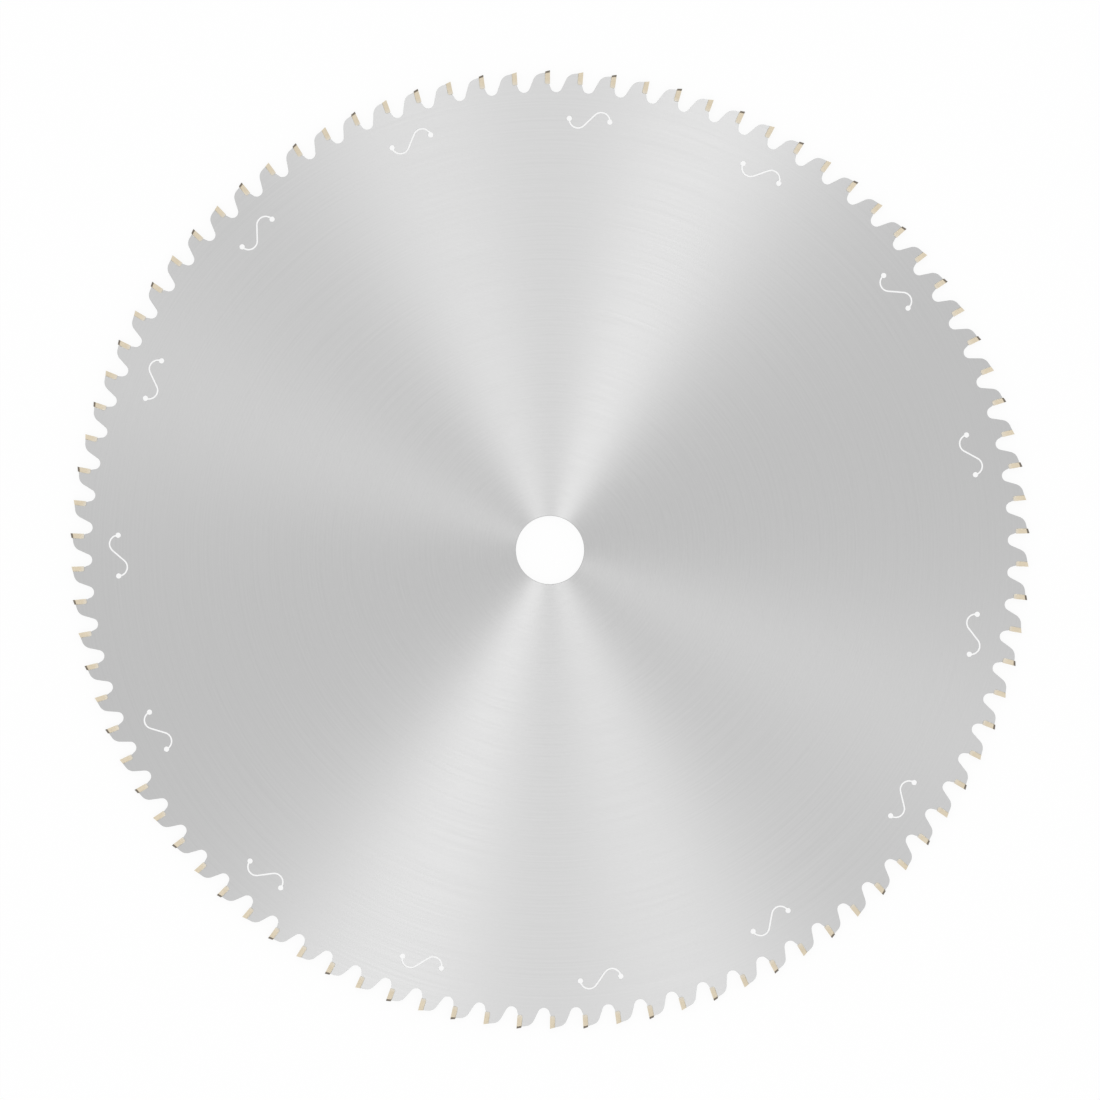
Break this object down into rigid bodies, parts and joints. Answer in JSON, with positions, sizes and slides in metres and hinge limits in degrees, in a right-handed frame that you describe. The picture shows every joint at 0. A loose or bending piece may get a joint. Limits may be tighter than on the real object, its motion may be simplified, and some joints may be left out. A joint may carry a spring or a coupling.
{
  "type": "circular saw blade",
  "caption": "Flat round saw blade: ground steel plate with an arbor bore, curved expansion slots, round gullets and brazed carbide tips, alternately trapezoid and flat.",
  "frame": {"origin": "middle of the arbor bore, at half the plate's thickness", "axes": "+Z along the arbor's axis, +Y towards a high tooth's cutting edge; seen from +Z the teeth cut clockwise"},
  "size_m": [0.4498, 0.4495, 0.004],
  "materials": {
    "ground_steel": "ground in fine rings round the bore",
    "carbide": "ground cemented carbide with a straw tint on its sides",
    "braze_alloy": "flowed silver braze"
  },
  "bodies": {
    "root": {"blade_body": "ground_steel", "trapezoid_tips": "carbide", "flat_tips": "carbide", "braze_seams": "braze_alloy"}
  },
  "joints": []
}
